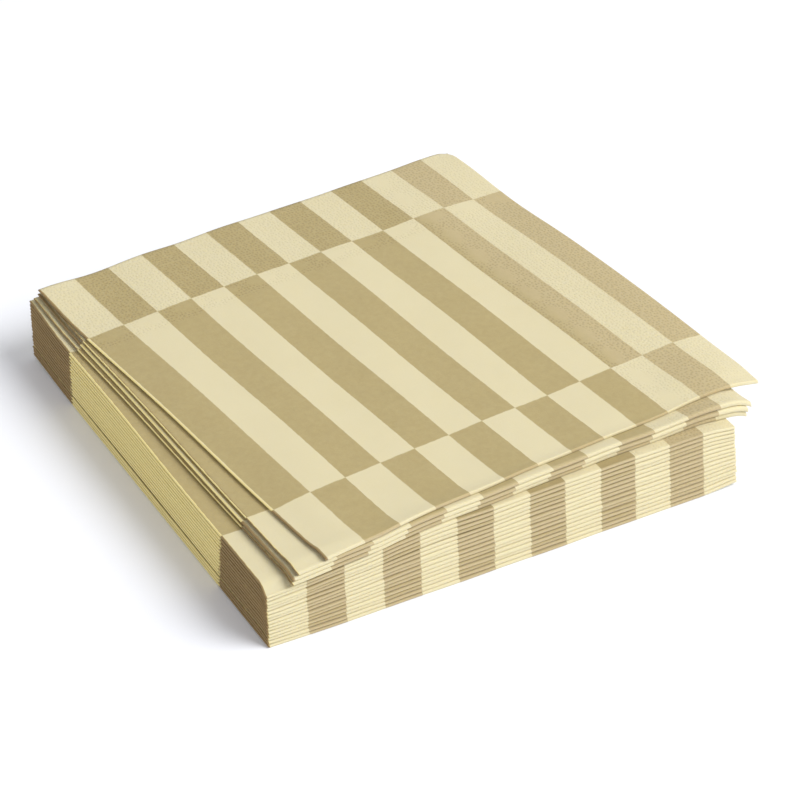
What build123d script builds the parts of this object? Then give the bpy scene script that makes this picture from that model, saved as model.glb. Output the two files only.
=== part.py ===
from build123d import *
import os
from math import cos, radians

os.makedirs("parts", exist_ok=True)

# A stack of paper napkins. Each napkin is one square of three-ply tissue, folded
# in half twice: the first fold makes a pair of leaves, the second fold lays that
# pair over on itself, so four leaves lie on each other. Most of the stack is
# squared up by hand, and the last few napkins are fanned out on its top.
# Millimetres, +Z up. The origin is the centre of the squared stack's underside.
# The nested second folds face -Y, the first folds face -X, and the cut edges of
# the sheets are at +X and +Y.

# Sheet and folds
sheet_side = 330.0
leaf_thickness = 0.275
pair_gap = 0.03       # air between the two leaves of a pair
crease_gap = 0.04     # air between the two pairs at the nested fold
loft_gap = 0.1        # further air between the two pairs, away from that fold
shoulder_run = 8.0    # length behind the nested fold over which the loft grows

# Squared stack
squared_count = 16
napkin_gap = 0.03     # air between napkins that lie on each other
side_slip = 0.5       # furthest that a napkin is out of line along the stack's front
slip_angle = 137.5    # step between napkins round the circle that gives each its slip

# Fanned napkins, lowest first
fan_turns = (2.0, 1.85, 2.15, 5.6)    # degrees about the vertical
fan_shifts = (6.3, 7.2, 8.7, 18.5)    # front left corner's distance along the stack's front
fan_reach = 0.8                       # how far those corners stand out in front of the stack

# Sizes that follow
folded_side = sheet_side / 2
pair_height = 2 * leaf_thickness + pair_gap
crease_height = 2 * pair_height + crease_gap
napkin_height = crease_height + loft_gap
pitch = napkin_height + napkin_gap
crease_pitch = crease_height + napkin_gap
crease_line = crease_height / 2       # the nested fold's centre, behind its outermost line
shoulder_line = crease_line + shoulder_run


def fold_line(level, out, reach=0.0):
    """A line that keeps a distance outside the middle of a napkin's pair of leaves.

    It runs from the lower cut edge round the nested fold to the upper one. A napkin at
    a level rests on that many others, so its legs slope down to the crease by all the
    loft that lies under them. Reach carries the ends past the cut edge.
    """
    ends = folded_side + reach
    low_leg = level * pitch + pair_height / 2 - out
    high_leg = level * pitch + napkin_height - pair_height / 2 + out
    low_crease = level * crease_pitch + pair_height / 2 - out
    crease_radius = (pair_height + crease_gap) / 2 + out
    with BuildLine(Plane.YZ) as line:
        if level:
            Polyline((ends, low_leg), (shoulder_line, low_leg), (crease_line, low_crease))
        else:
            Line((ends, low_leg), (crease_line, low_crease))
        crease = JernArc((crease_line, low_crease), (-1, 0), crease_radius, -180)
        Polyline(crease @ 1, (shoulder_line, high_leg), (ends, high_leg))
    return line.line


def band(level, far, near, reach=0.0):
    """Face between two fold lines, closed at the cut edges."""
    outside = fold_line(level, far, reach)
    inside = fold_line(level, near, reach)
    low_end = Line(outside @ 0, inside @ 0)
    high_end = Line(outside @ 1, inside @ 1)
    return make_face(outside.edges() + inside.edges() + [low_end, high_end])


def napkin(level):
    """One folded napkin, with its first fold on x = 0 and its nested fold on y = 0."""
    outer = pair_height / 2
    inner = pair_gap / 2
    pair = extrude(band(level, outer, -outer), folded_side, dir=(1, 0, 0))
    slit = extrude(band(level, inner, -inner, reach=1.0), folded_side, dir=(1, 0, 0))
    return pair - Pos(leaf_thickness, 0, 0) * slit


# Squared napkins, from the lowest up
corner = Pos(-folded_side / 2, -folded_side / 2, 0)
stack = []
for level in range(squared_count):
    slip = side_slip * cos(radians(level * slip_angle))
    stack.append(corner * Pos(slip, 0, 0) * napkin(level))

# Fanned napkins, flat on the squared stack and on each other
flat_napkin = napkin(0)
for place, (turn, shift) in enumerate(zip(fan_turns, fan_shifts)):
    rest = (squared_count + place) * pitch
    stack.append(corner * Pos(shift, -fan_reach, rest) * Rot(0, 0, turn) * flat_napkin)

for number, piece in enumerate(stack, 1):
    export_step(piece, f"parts/napkin_{number:02d}.step")
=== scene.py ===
import bpy
import numpy as np
from mathutils import Matrix


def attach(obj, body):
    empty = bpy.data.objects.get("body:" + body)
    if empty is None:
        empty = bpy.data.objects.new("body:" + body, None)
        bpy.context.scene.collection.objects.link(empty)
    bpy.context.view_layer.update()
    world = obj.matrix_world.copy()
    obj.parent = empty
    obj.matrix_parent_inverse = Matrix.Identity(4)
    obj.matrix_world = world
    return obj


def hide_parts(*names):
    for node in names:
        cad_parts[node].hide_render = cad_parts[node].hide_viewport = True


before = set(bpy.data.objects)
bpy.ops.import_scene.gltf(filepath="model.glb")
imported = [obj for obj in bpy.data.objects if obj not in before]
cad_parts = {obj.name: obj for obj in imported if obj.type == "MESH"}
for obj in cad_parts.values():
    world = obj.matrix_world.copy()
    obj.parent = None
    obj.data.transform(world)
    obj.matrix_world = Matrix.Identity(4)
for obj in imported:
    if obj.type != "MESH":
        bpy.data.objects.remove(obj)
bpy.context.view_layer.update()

# Squared napkins: sixteen squares of three-ply tissue, each folded in half twice to 165 mm and
# patted into one block. Their nested folds make the ridges of the front, and the pressed single
# folds the thin lines of the left side. Lengths here are in millimetres from the block's corner.
SIDE = 165.0
LEAF = 0.215
PAIR_GAP = 0.08
CLEAR = 0.04           # air kept above and below each napkin
SQUARED = 16
BLOCK_SETBACK = 2.0    # how far the front's upper right end stands back
PITCH = 1.33
STRIPE = SIDE / 13
BAND = 30.0
CREASE = 0.66          # centre of the nested fold behind its outermost line
HALF_PAIR = LEAF + PAIR_GAP / 2
LEAF_LEVEL = (LEAF + PAIR_GAP) / 2
FOLD_START = LEAF_LEVEL + LEAF / 2
RIM = 0.5              # value of the side attribute on the cut edges
MM = 0.001             # metres in a millimetre


def ease(value, start, end):
    """Smooth step 3s^2 - 2s^3, with s from 0 at start to 1 at end."""
    s = np.clip((value - start) / (end - start), 0.0, 1.0)
    return s * s * (3.0 - 2.0 * s)


def waves(x, y, seed, longest, count=5):
    """Sum of sines in seeded directions, about 1 high.

    sum sin(2 pi (x cos d + y sin d) / w + p) / sqrt(count), with w from the longest to 0.35 of it.
    """
    chance = np.random.default_rng(seed)
    total = 0.0
    for share in np.linspace(1.0, 0.35, count):
        way, phase = chance.uniform(0.0, 2.0 * np.pi, 2)
        along = x * np.cos(way) + y * np.sin(way)
        total = total + np.sin(2.0 * np.pi * along / (longest * share) + phase)
    return total / np.sqrt(count)


def block_top(x, y, count):
    """Height of the top of a number of squared napkins over a plan point.

    Each adds its pitch and a share of the front's profile that fades with y, less a share where the
    cut edges are pinched: height = lift + count (pitch + front(x) exp(-(y / reach)^2) - pinch(x, y)).
    The lift raises the back left corner off the table, and the lowest napkins at the front right one.
    Slow waves of 0.25 mm grow toward the top.
    """
    front = np.interp(
        x,
        [0.0, 10.0, 19.0, 30.0, 43.0, 69.0, 95.0, 120.0, 145.0, 156.0, 165.0],
        [-0.17, -0.15, -0.12, -0.06, 0.01, 0.055, 0.08, 0.09, 0.075, 0.05, 0.0],
    )
    front_fade = np.exp(-((np.maximum(y, 0.0) / (2.3 + 11.0 * ease(x, 20.0, 60.0))) ** 2))
    corner = np.exp(-((np.maximum(SIDE - x, 0.0) / 9.0) ** 2 + (np.maximum(y, 0.0) / 14.0) ** 2))
    tip = np.exp(-((np.maximum(x, 0.0) / 13.0) ** 2 + (np.maximum(SIDE - y, 0.0) / 16.0) ** 2))
    cut_edge = np.exp(-((np.maximum(SIDE - x, 0.0) / 12.0) ** 2 + ((y - 141.0) / 24.0) ** 2))
    share = count / SQUARED
    each = PITCH + front * front_fade - 0.05 * corner - 0.1 * cut_edge
    lift = 1.0 * corner * (1.0 - share) + (1.0 + share) * tip
    return lift + count * each + 0.25 * share * waves(x, y, 11, 90.0)


def pressed(distance):
    """Share of a fold's pressing that is left at a distance behind it, exp(-distance / 2)."""
    return np.exp(-np.maximum(distance, 0.0) / 2.0)


def parting(x, y, number):
    """Height by which a napkin is raised where the block gapes under it or lower down.

    It gapes at the first folds under the fourth napkin, and at the front under the thirteenth.
    """
    left = 0.45 * np.exp(-np.maximum(x, 0.0) / 6.0 - ((y - 80.0) / 40.0) ** 2) * (number >= 3)
    front = 0.5 * pressed(y) * np.exp(-(((x - 58.0) / 24.0) ** 2)) * (number >= 12)
    return left + front


def folded_sheet(low, high, place, columns, rows, nose, recess, shift, tucked):
    """Closed thin solid of a sheet folded twice: vertices, quads, flat coordinates, folds and sides.

    Across the first fold: outer leaf at h = +level, a half circle about x = level + LEAF / 2, inner leaf
    at h = -level; the printed face is LEAF / 2 further out and the blank face LEAF / 2 further in.
    Along the second fold, with middle heights low(x, y) and high(x, y): lower leg z = low - h, flattened
    half circle (y, z) = (c - (r + h) sqrt(cos t), middle + (r + h) sin t), upper leg z = high + h.
    The lower leg stands back by the recess. The print misses the two fold lines by the first two values
    of the shift, and its bands lie nearer to the second fold by the third.
    Folds are the distance from the first fold and the painted shade of the groove beside the second one,
    which is painted below it and, for a napkin that is tucked under others, above it.
    """
    outer_x, inner_x = columns
    bend = np.radians(np.linspace(90.0, -90.0, 9))[1:-1]
    across = np.concatenate([outer_x[::-1], np.full(len(bend), FOLD_START), inner_x])
    level = np.concatenate([np.ones(len(outer_x)), np.sin(bend), -np.ones(len(inner_x))])
    inward = np.concatenate([np.zeros(len(outer_x)), np.cos(bend), np.zeros(len(inner_x))])
    from_fold = np.concatenate([
        (outer_x - FOLD_START + LEAF_LEVEL * np.pi / 2)[::-1],
        LEAF_LEVEL * bend,
        -(inner_x - FOLD_START + LEAF_LEVEL * np.pi / 2),
    ])
    low_y, high_y = rows
    turn = np.radians(np.linspace(-90.0, 90.0, nose + 2))[1:-1]
    leg_extra = 0.3
    length_per_radian = 0.35
    low_v = low_y + leg_extra + shift[2] * (1.0 - low_y / SIDE)
    high_v = high_y + leg_extra + shift[2] * (1.0 - high_y / SIDE)
    flat_v = SIDE + shift[1] + np.concatenate([-low_v[::-1], length_per_radian * turn, high_v])
    # Painted shade in the groove beside the second fold: darkest where the nose meets its legs and fading
    # from there, none on the nose's outermost line.
    nose_groove_shade = np.abs(np.sin(turn)) ** 3 * np.where(turn > 0.0, tucked, 1.0)
    groove_shade = np.concatenate([pressed(low_y[::-1]), nose_groove_shade, tucked * pressed(high_y)])
    nose_back = (1.0 - np.sin(turn)) / 2
    set_back = recess * np.concatenate([np.ones(len(low_y)), nose_back, np.zeros(len(high_y))])
    crease = low_y[0]
    sides = []
    for face in (LEAF / 2, -LEAF / 2):
        h = (LEAF_LEVEL + face) * level
        x = across - (LEAF_LEVEL + face) * inward + set_back[:, None]
        low_x, nose_x, high_x = np.split(x, [len(low_y), len(low_y) + nose])
        below = low(low_x, low_y[::-1, None]) - h
        above = high(high_x, high_y[:, None]) + h
        base, roof = low(nose_x, crease), high(nose_x, crease)
        middle, radius = (base + roof) / 2, (roof - base) / 2 + h
        nose_y = crease - radius * np.sqrt(np.cos(turn))[:, None]
        nose_z = middle + radius * np.sin(turn)[:, None]
        straight = np.ones((1, len(across)))
        y = np.concatenate([low_y[::-1, None] * straight, nose_y, high_y[:, None] * straight])
        z = np.concatenate([below, nose_z, above])
        sides.append(np.stack([x, y, z], axis=2))
    points = np.stack(sides)
    points[..., 0], points[..., 1] = place(points[..., 0], points[..., 1])
    count_v, count_u = points.shape[1:3]
    index = np.arange(2 * count_v * count_u).reshape(2, count_v, count_u)
    out, back = index
    top = np.stack([out[:-1, :-1], out[1:, :-1], out[1:, 1:], out[:-1, 1:]], axis=2).reshape(-1, 4)
    under = np.stack([back[:-1, :-1], back[:-1, 1:], back[1:, 1:], back[1:, :-1]], axis=2).reshape(-1, 4)
    ring_out = np.concatenate([out[0, :-1], out[:-1, -1], out[-1, :0:-1], out[:0:-1, 0]])
    ring_back = np.concatenate([back[0, :-1], back[:-1, -1], back[-1, :0:-1], back[:0:-1, 0]])
    rim = np.stack([ring_out, np.roll(ring_out, -1), np.roll(ring_back, -1), ring_back], axis=1)
    quads = np.concatenate([top, under, rim])
    flat = np.stack(np.broadcast_arrays(SIDE + shift[0] + from_fold, flat_v[:, None], 0.0), axis=2)
    folds = np.stack(np.broadcast_arrays(from_fold, groove_shade[:, None]), axis=2)
    side = np.concatenate([np.zeros(len(top)), np.ones(len(under)), np.full(len(rim), RIM)])
    return points.reshape(-1, 3), quads, np.stack([flat, flat]), np.stack([folds, folds]), side


def finished(name, points, quads, flat, folds, side, material):
    """Object of a folded sheet in metres, with its flat coordinates, and its folds with their painted groove
    shade, as point attributes.
    """
    mesh = bpy.data.meshes.new(name)
    mesh.vertices.add(len(points))
    mesh.vertices.foreach_set("co", ((points - [SIDE / 2, SIDE / 2, 0.0]) * MM).ravel())
    mesh.loops.add(4 * len(quads))
    mesh.loops.foreach_set("vertex_index", quads.ravel().astype(np.int32))
    mesh.polygons.add(len(quads))
    mesh.polygons.foreach_set("loop_start", np.arange(0, 4 * len(quads), 4, dtype=np.int32))
    mesh.update(calc_edges=True)
    for key, kind, domain, field, values in (
        ("flat", "FLOAT_VECTOR", "POINT", "vector", flat),
        ("folds", "FLOAT2", "POINT", "vector", folds),
        ("side", "FLOAT", "FACE", "value", side),
    ):
        attribute = mesh.attributes.new(key, kind, domain)
        attribute.data.foreach_set(field, values.ravel().astype(np.float32))
    mesh.validate()
    mesh.polygons.foreach_set("use_smooth", side != RIM)
    mesh.materials.append(material)
    piece = bpy.data.objects.new(name, mesh)
    bpy.context.scene.collection.objects.link(piece)
    return piece


class Value:
    """One socket of a material, with arithmetic that adds Math nodes."""

    def __init__(self, tree, socket):
        self.tree = tree
        self.socket = socket

    def node(self, kind, *inputs, output=0, **settings):
        """Any node of the same material, with its settings and its inputs in order."""
        made = self.tree.nodes.new(kind)
        for key, setting in settings.items():
            setattr(made, key, setting)
        for place, given in enumerate(inputs):
            if isinstance(given, Value):
                self.tree.links.new(given.socket, made.inputs[place])
            elif given is not None:
                made.inputs[place].default_value = given
        return Value(self.tree, made.outputs[output])

    def math(self, operation, *inputs):
        """A Math node that takes this value first."""
        return self.node("ShaderNodeMath", self, *inputs, operation=operation)

    def __add__(self, other):
        return self.math("ADD", other)

    def __radd__(self, other):
        return self.math("ADD", other)

    def __sub__(self, other):
        return self.math("SUBTRACT", other)

    def __rsub__(self, other):
        return self.node("ShaderNodeMath", other, self, operation="SUBTRACT")

    def __mul__(self, other):
        return self.math("MULTIPLY", other)

    def __rmul__(self, other):
        return self.math("MULTIPLY", other)

    def __truediv__(self, other):
        return self.math("DIVIDE", other)

    def __rtruediv__(self, other):
        return self.node("ShaderNodeMath", other, self, operation="DIVIDE")

    def step(self, start, end):
        """Smooth step from 0 at start to 1 at end."""
        return self.node("ShaderNodeMapRange", self, start, end, 0.0, 1.0, interpolation_type="SMOOTHSTEP")

    def mix(self, first, second):
        """First colour where this is 0, second where it is 1."""
        skipped = (None,) * 5
        return self.node("ShaderNodeMix", self, *skipped, first, second, output=2, data_type="RGBA")


def tissue_material():
    """Soft tissue printed in 12.7 mm stripes that swap colour at the bands.

    Dots are pressed into its borders, apart from rows of smooth lenses. Its folds carry painted light and
    shade:
    shade and warm bounced light on the first folds, shade in the grooves beside the nested folds, highlights
    on their noses.
    """
    dark_cream = (0.65, 0.565, 0.345, 1.0)
    light_cream = (0.70, 0.62, 0.405, 1.0)
    # Painted highlight colour for the cream on the noses of the nested folds, the ridges of the front.
    nose_highlight_cream = (0.80, 0.73, 0.48, 1.0)
    # Painted light for the cream on the first folds, the shaded left sides: a deeper yellow for warm light
    # bounced between the leaves.
    fold_bounce_cream = (0.77, 0.64, 0.285, 1.0)
    blank_cream = (0.86, 0.81, 0.60, 1.0)
    dark_tan = (0.36, 0.281, 0.127, 1.0)
    light_tan = (0.475, 0.386, 0.192, 1.0)
    # Painted highlight colour for the tan on the noses of the nested folds.
    nose_highlight_tan = (0.55, 0.45, 0.27, 1.0)
    # Painted shade for the tan on the first folds, the shaded left sides.
    fold_shade_tan = (0.261, 0.176, 0.078, 1.0)
    # Painted shade for the tan in the grooves beside the nested folds.
    groove_shade_tan = (0.16, 0.11, 0.05, 1.0)
    border_tan = (0.62, 0.51, 0.32, 1.0)
    blank_tan = (0.66, 0.57, 0.36, 1.0)
    pit_brown = (0.2, 0.145, 0.06, 1.0)
    made = bpy.data.materials.new("printed tissue")
    made.use_nodes = True
    tree = made.node_tree
    shader = tree.nodes["Principled BSDF"]
    flat_node = tree.nodes.new("ShaderNodeAttribute")
    flat_node.attribute_name = "flat"
    flat = Value(tree, flat_node.outputs["Vector"])
    folds = flat.node("ShaderNodeAttribute", attribute_name="folds", output=1)
    side = flat.node("ShaderNodeAttribute", attribute_name="side", output=2)
    u = flat.node("ShaderNodeSeparateXYZ", flat, output=0)
    v = flat.node("ShaderNodeSeparateXYZ", flat, output=1)
    from_fold = flat.node("ShaderNodeSeparateXYZ", folds, output=0)
    groove_shade = flat.node("ShaderNodeSeparateXYZ", folds, output=1)
    wander = flat.node("ShaderNodeTexNoise", flat, None, 0.35, 2.0, output=0) - 0.5
    fibre = flat.node("ShaderNodeTexNoise", flat, None, 1.7, 4.0, 0.62, output=0)
    cloud = flat.node("ShaderNodeTexNoise", flat, None, 0.09, 3.0, 0.6, output=0)
    mottle = flat.node("ShaderNodeTexNoise", flat, None, 0.45, 3.0, 0.65, output=0).step(0.3, 0.7)

    phase = (u - (SIDE + 0.5) + wander * 0.4).math("WRAP", 0.0, 2.0 * STRIPE)
    stripe = phase.step(STRIPE - 0.2, STRIPE + 0.2) * (1.0 - phase.step(2.0 * STRIPE - 0.2, 2.0 * STRIPE))
    along = (v - SIDE).math("ABSOLUTE") + wander * 0.6
    far_band = SIDE - BAND
    band = along.step(BAND - 0.25, BAND + 0.25) * (1.0 - along.step(far_band - 0.25, far_band + 0.25))
    tan_share = stripe + band - 2.0 * stripe * band

    cream = (cloud * 0.5 + fibre * 0.5).mix(dark_cream, light_cream)
    tan = (cloud * 0.3 + fibre * 0.4 + mottle * 0.2 + 0.05).mix(dark_tan, light_tan)
    # Painted light and shade on the first folds, which form the shaded left sides: warm bounced light on the
    # cream, shade on the tan.
    fold_shading = 1.0 - from_fold.math("ABSOLUTE").step(0.3, 0.8)
    # Painted highlight: the noses of the nested folds, the ridges of the front, are painted paler, the tan
    # most.
    nose_highlight = 1.0 - (v - SIDE).math("ABSOLUTE").step(0.4, 1.6)
    cream = (nose_highlight * 0.3).mix(cream, nose_highlight_cream)
    tan = (nose_highlight * 0.85).mix(tan, nose_highlight_tan)
    cream = fold_shading.mix(cream, fold_bounce_cream)
    # Painted shade in the grooves beside the nested folds darkens the tan.
    tan = fold_shading.mix((groove_shade * 0.4).mix(tan, groove_shade_tan), fold_shade_tan)
    printed = tan_share.mix(cream, tan)
    edge_u = SIDE - (u - SIDE).math("ABSOLUTE")
    edge_v = SIDE - (v - SIDE).math("ABSOLUTE")

    def lens(along_edge, from_edge):
        """Above 0 in a row of lenses beside an edge: |sin(pi (s + 3) / 14)| - |d - 33| / 4.2."""
        row = ((along_edge + 3.0) / 14.0 * np.pi).math("SINE").math("ABSOLUTE")
        return row - ((from_edge - 33.0) / 4.2).math("ABSOLUTE")

    smooth = lens(v, edge_u).math("MAXIMUM", lens(u, edge_v)).step(0.0, 0.6)
    edge = edge_u.math("MINIMUM", edge_v)
    border = 1.0 - edge.step(37.0, 39.5)
    lighter = (1.0 - edge_u.step(30.0, 41.0)) * tan_share
    skipped = (None,) * 5
    cells = flat.node("ShaderNodeTexVoronoi", flat, None, 0.78, *skipped, 0.6, voronoi_dimensions="2D")
    off_folds = (1.0 - fold_shading) * (1.0 - nose_highlight)
    pits = (1.0 - cells.step(0.12, 0.42)) * border * (1.0 - smooth) * (0.2 + 0.8 * off_folds)
    printed = (lighter * off_folds * 0.38).mix(printed, border_tan)
    printed = (pits * (0.05 + 0.2 * tan_share)).mix(printed, pit_brown)
    blank = (tan_share * 0.25).mix(blank_cream, blank_tan)
    colour = side.step(0.4, 0.6).mix(printed, blank)
    tree.links.new(colour.socket, shader.inputs["Base Color"])

    relief = pits * -1.2 + fibre * 0.5
    bump = flat.node("ShaderNodeBump", 0.5, 0.00014, None, relief)
    tree.links.new(bump.socket, shader.inputs["Normal"])
    shader.inputs["Roughness"].default_value = 0.92
    shader.inputs["Specular IOR Level"].default_value = 0.25
    shader.inputs["Sheen Weight"].default_value = 0.08
    shader.inputs["Subsurface Weight"].default_value = 0.25
    shader.inputs["Subsurface Radius"].default_value = (1.0, 0.85, 0.5)
    shader.inputs["Subsurface Scale"].default_value = 0.001
    return made


tissue = tissue_material()
middle_columns = np.linspace(9.0, 158.0, 62)
outer_columns = np.concatenate([
    [FOLD_START, 0.6, 1.2, 2.0, 3.0, 4.5, 6.5],
    middle_columns,
    [160.5, 162.5, 164.0, 164.7, SIDE],
])
inner_columns = np.concatenate([
    [FOLD_START, 0.6, 1.2, 2.0, 4.5],
    middle_columns[::2],
    [160.5, 162.5, 164.0, SIDE],
])
leg_rows = np.concatenate([
    [CREASE, 1.2, 2.0, 3.0, 4.0, 5.2, 6.5, 8.0, 10.0],
    np.linspace(13.0, 157.0, 22),
    [160.0, 162.0, 164.0, SIDE],
])
chance = np.random.default_rng(9)
for number in range(SQUARED):
    share = number / (SQUARED - 1)
    slip_x = chance.normal(-0.6 - 0.3 * share, 0.07)
    slip_y = chance.normal(0.0, 0.12)
    shift = (chance.normal(0.0, 0.05), chance.normal(0.5, 0.15), 3.5 * share - 2.2)
    recess = chance.normal(0.14, 0.05)
    setback = BLOCK_SETBACK * share**1.5
    forward = 1.5 * (1.0 - share) ** 1.5

    def place(x, y):
        """Plan place of a napkin's own x and y.

        It slips, and its front stands forward low in the block and back to the right high in it.
        """
        front = setback * x / SIDE - forward * (0.65 + 0.35 * ease(x, 0.0, 25.0))
        front = front + 0.1 * waves(x, 0.0, 100 + number, 45.0)
        return x + slip_x, y + slip_y + front * (1.0 - y / SIDE)

    def low(x, y):
        """Middle height of the lower pair of leaves, raised a little where the folds are pressed."""
        bottom = block_top(*place(x, y), number) + parting(x, y, number)
        return bottom + HALF_PAIR + CLEAR + 0.03 * pressed(y) + 0.1 * pressed(x)

    def high(x, y):
        """Middle height of the upper pair of leaves, lowered a little where the folds are pressed."""
        top = block_top(*place(x, y), number + 1) + parting(x, y, number)
        return top - HALF_PAIR - CLEAR - 0.03 * pressed(y) - 0.1 * pressed(x)

    name = f"napkin_{number + 1:02d}"
    columns, rows = (outer_columns, inner_columns), (leg_rows, leg_rows)
    shape = folded_sheet(low, high, place, columns, rows, nose=10, recess=recess, shift=shift, tucked=1.0)
    piece = finished(f"{name}.tissue", *shape, tissue)
    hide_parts(name)
    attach(piece, "root")

# Fanned napkins: the last four lie on the block with their front left corners slid to the right,
# and the uppermost is turned furthest. They swell at their nested folds, the uppermost is lofted
# behind its own, and the tips that stand out over the block's right end droop.
FAN_PITCH = 1.2
FAN_REACH = 0.8        # how far the front left corners stand out in front of the block
DROOP_START = 2.0      # how far inside the block's right end the droop begins
# Front left corner along the block's front, turn in degrees, set-back of the front's right end, print's
# shift from the first fold and of its bands toward the second one, set-back of the lower pair, and droop
# for each square millimetre past its start.
FAN = [
    (7.0, 2.36, 1.1, 0.1, 0.0, 0.5, 0.028),
    (7.2, 1.9, 2.0, -0.5, -0.5, 0.3, 0.028),
    (8.7, 2.15, 2.0, 0.1, -0.5, 0.6, 0.028),
    (17.9, 5.65, 0.0, -0.35, 1.6, 0.5, 0.0065),
]
fine_columns = np.linspace(8.5, 158.0, 100)
fine_outer = np.concatenate([
    [FOLD_START, 0.5, 0.9, 1.4, 2.0, 3.0, 4.5, 6.5],
    fine_columns,
    [159.5, 161.0, 162.5, 163.7, 164.5, SIDE],
])
fine_inner = np.concatenate([
    [FOLD_START, 0.5, 0.9, 2.0, 4.5],
    fine_columns[:84:4],
    fine_columns[84:],
    [159.5, 161.0, 162.5, 163.7, 164.5, SIDE],
])
fine_high = np.concatenate([
    [CREASE, 1.0, 1.5, 2.0, 3.0, 4.0, 5.5, 7.0],
    np.linspace(9.0, 157.0, 70),
    [160.0, 162.0, 164.0, SIDE],
])
for order, (slide, turn, setback, print_shift, band_shift, recess, droop) in enumerate(FAN):
    angle = np.radians(turn)
    shift = (print_shift, chance.normal(0.5, 0.15), band_shift)
    uppermost = order == len(FAN) - 1

    def place(x, y):
        """Plan place of a napkin's own x and y, turned about its front left corner."""
        y = y + setback * x / SIDE * (1.0 - y / SIDE)
        plan_x = slide + x * np.cos(angle) - y * np.sin(angle)
        plan_y = x * np.sin(angle) + y * np.cos(angle) - FAN_REACH
        return plan_x, plan_y

    def rest(x, y, below):
        """Height of the top of a number of fanned napkins over a plan point.

        The lowest bridges the block's front left corner, which it sinks toward. All swell at the front
        and droop by droop (x - start)^2, from a start a little inside the block's right end.
        """
        on_block = np.clip(x, 0.0, SIDE)
        corner = 1.3 * np.exp(-((x / 28.0) ** 2) - (np.maximum(y, 0.0) / 3.0) ** 2)
        behind = block_top(on_block, np.clip(y, 9.0, SIDE), SQUARED) - corner
        gape = parting(x, y - BLOCK_SETBACK * x / SIDE, SQUARED - 1)
        base = np.maximum(behind, block_top(on_block, np.clip(y, 0.0, SIDE), SQUARED) + gape)
        at_front = np.exp(-((np.maximum(y - 0.035 * x, 0.0) / 5.0) ** 2))
        swell = 0.3 * at_front + 0.4 * ease(x, 140.0, 168.0) * ease(y, 40.0, 5.0)
        past_end = np.maximum(x - SIDE + DROOP_START, 0.0)
        return base + below * FAN_PITCH * (1.0 + swell) - droop * past_end**2

    def curl(x, y):
        """Depth by which the uppermost napkin's two right corners curl down."""
        far = np.maximum(SIDE - x, 0.0)
        front = np.exp(-((far / 10.0) ** 2) - (y / 12.0) ** 2)
        back = np.exp(-(far**2 + (SIDE - y) ** 2) / 8.0)
        return uppermost * (front + 1.2 * back)

    def low(x, y):
        """Middle height of the lower pair of leaves."""
        bottom = rest(*place(x, y), order) - curl(x, y)
        return bottom + HALF_PAIR + CLEAR + 0.05 * pressed(y) + 0.04 * pressed(x)

    def high(x, y):
        """Middle height of the upper pair of leaves, lofted behind the fold in the uppermost napkin."""
        loft = 0.7 * ease(y, 0.0, 9.0) * ease(x, 0.0, 12.0) * (1.0 - 0.6 * ease(y, 130.0, SIDE))
        ripple = 0.5 * np.sin(2.0 * np.pi * (x - 20.0) / SIDE) + 0.12 * np.sin(2.0 * np.pi * x / 29.0)
        loft = loft + (ripple + 0.9 * ease(x, 140.0, 162.0)) * ease(y, 120.0, SIDE)
        loft = loft + 0.8 * ease(x, 120.0, SIDE) * np.exp(-(((y - 62.0) / 32.0) ** 2))
        top = rest(*place(x, y), order + 1) - curl(x, y) + uppermost * loft
        return top - HALF_PAIR - CLEAR - 0.05 * pressed(y) - 0.04 * pressed(x)

    name = f"napkin_{SQUARED + order + 1:02d}"
    columns, rows = (fine_outer, fine_inner), (leg_rows, fine_high)
    tucked = 1.0 if order < 2 else 0.0
    shape = folded_sheet(low, high, place, columns, rows, nose=12, recess=recess, shift=shift, tucked=tucked)
    piece = finished(f"{name}.tissue", *shape, tissue)
    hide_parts(name)
    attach(piece, "root")

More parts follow.
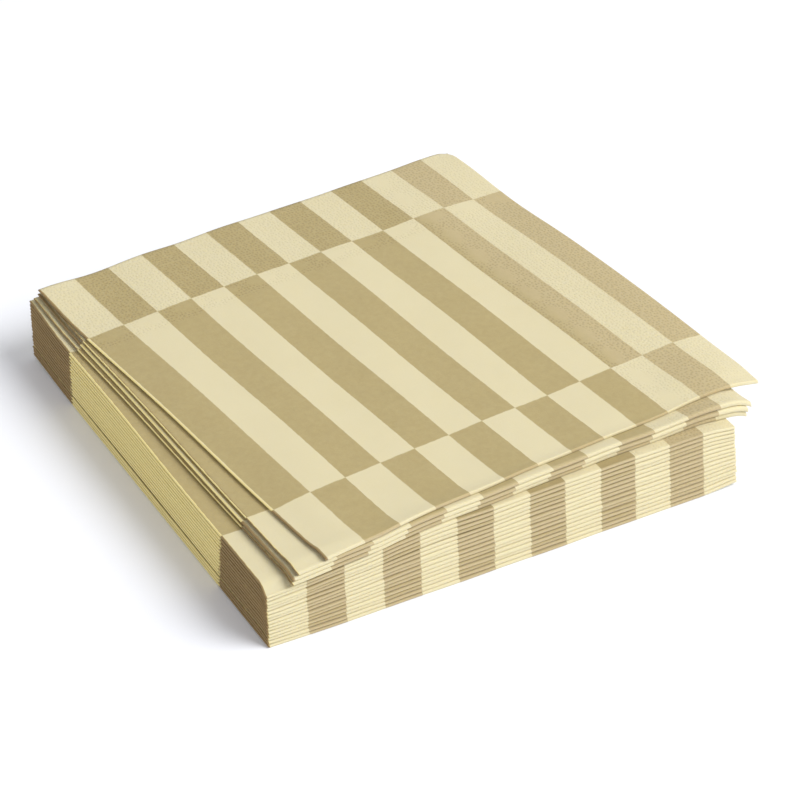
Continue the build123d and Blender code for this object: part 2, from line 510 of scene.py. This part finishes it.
# Floor and light: a white table under a soft light from the right and a weak fill from the left,
# which leave the left side and the table beside it in shade. The camera's place was fitted to
# the photograph.
floor_mesh = bpy.data.meshes.new("floor")
floor_mesh.from_pydata([(-6, -6, 0), (6, -6, 0), (6, 6, 0), (-6, 6, 0)], [], [(0, 1, 2, 3)])
floor = bpy.data.objects.new("floor", floor_mesh)
bpy.context.scene.collection.objects.link(floor)
white = bpy.data.materials.new("white table")
white.use_nodes = True
white_shader = white.node_tree.nodes["Principled BSDF"]
white_shader.inputs["Base Color"].default_value = (0.91, 0.925, 0.975, 1.0)
white_shader.inputs["Roughness"].default_value = 1.0
white_shader.inputs["Specular IOR Level"].default_value = 0.0
floor_mesh.materials.append(white)

world = bpy.data.worlds.new("studio")
world.use_nodes = True
world.node_tree.nodes["Background"].inputs["Color"].default_value = (1.0, 1.0, 1.0, 1.0)
world.node_tree.nodes["Background"].inputs["Strength"].default_value = 0.56
bpy.context.scene.world = world

for name, size, energy, location in (
    ("key", 2.2, 86.0, (1.45, -1.5, 2.2)),
    ("fill", 1.0, 6.0, (-2.2, -0.3, 0.45)),
):
    lamp = bpy.data.lights.new(name, "AREA")
    lamp.shape = "DISK"
    lamp.size = size
    lamp.energy = energy
    light = bpy.data.objects.new(name, lamp)
    light.location = location
    light.rotation_mode = "QUATERNION"
    light.rotation_quaternion = light.location.to_track_quat("Z", "Y")
    bpy.context.scene.collection.objects.link(light)

azimuth, elevation, roll = np.radians([30.94, 35.76, -1.67])
focal_pixels = 2788.0
image_pixels = 800.0
sensor_width = 36.0
distance = 880.0
look = np.array([83.6, 69.9, 15.0])
ahead = np.array([
    np.sin(azimuth) * np.cos(elevation),
    np.cos(azimuth) * np.cos(elevation),
    -np.sin(elevation),
])
level_right = np.array([np.cos(azimuth), -np.sin(azimuth), 0.0])
level_down = np.cross(ahead, level_right)
right = np.cos(roll) * level_right + np.sin(roll) * level_down
down = -np.sin(roll) * level_right + np.cos(roll) * level_down
eye = (look - ahead * distance - [SIDE / 2, SIDE / 2, 0.0]) * MM
camera_data = bpy.data.cameras.new("camera")
camera_data.sensor_width = sensor_width
camera_data.lens = sensor_width * focal_pixels / image_pixels
camera = bpy.data.objects.new("camera", camera_data)
camera.matrix_world = Matrix([
    [right[0], -down[0], -ahead[0], eye[0]],
    [right[1], -down[1], -ahead[1], eye[1]],
    [right[2], -down[2], -ahead[2], eye[2]],
    [0.0, 0.0, 0.0, 1.0],
])
bpy.context.scene.collection.objects.link(camera)
bpy.context.scene.camera = camera
bpy.context.scene.view_settings.view_transform = "Standard"
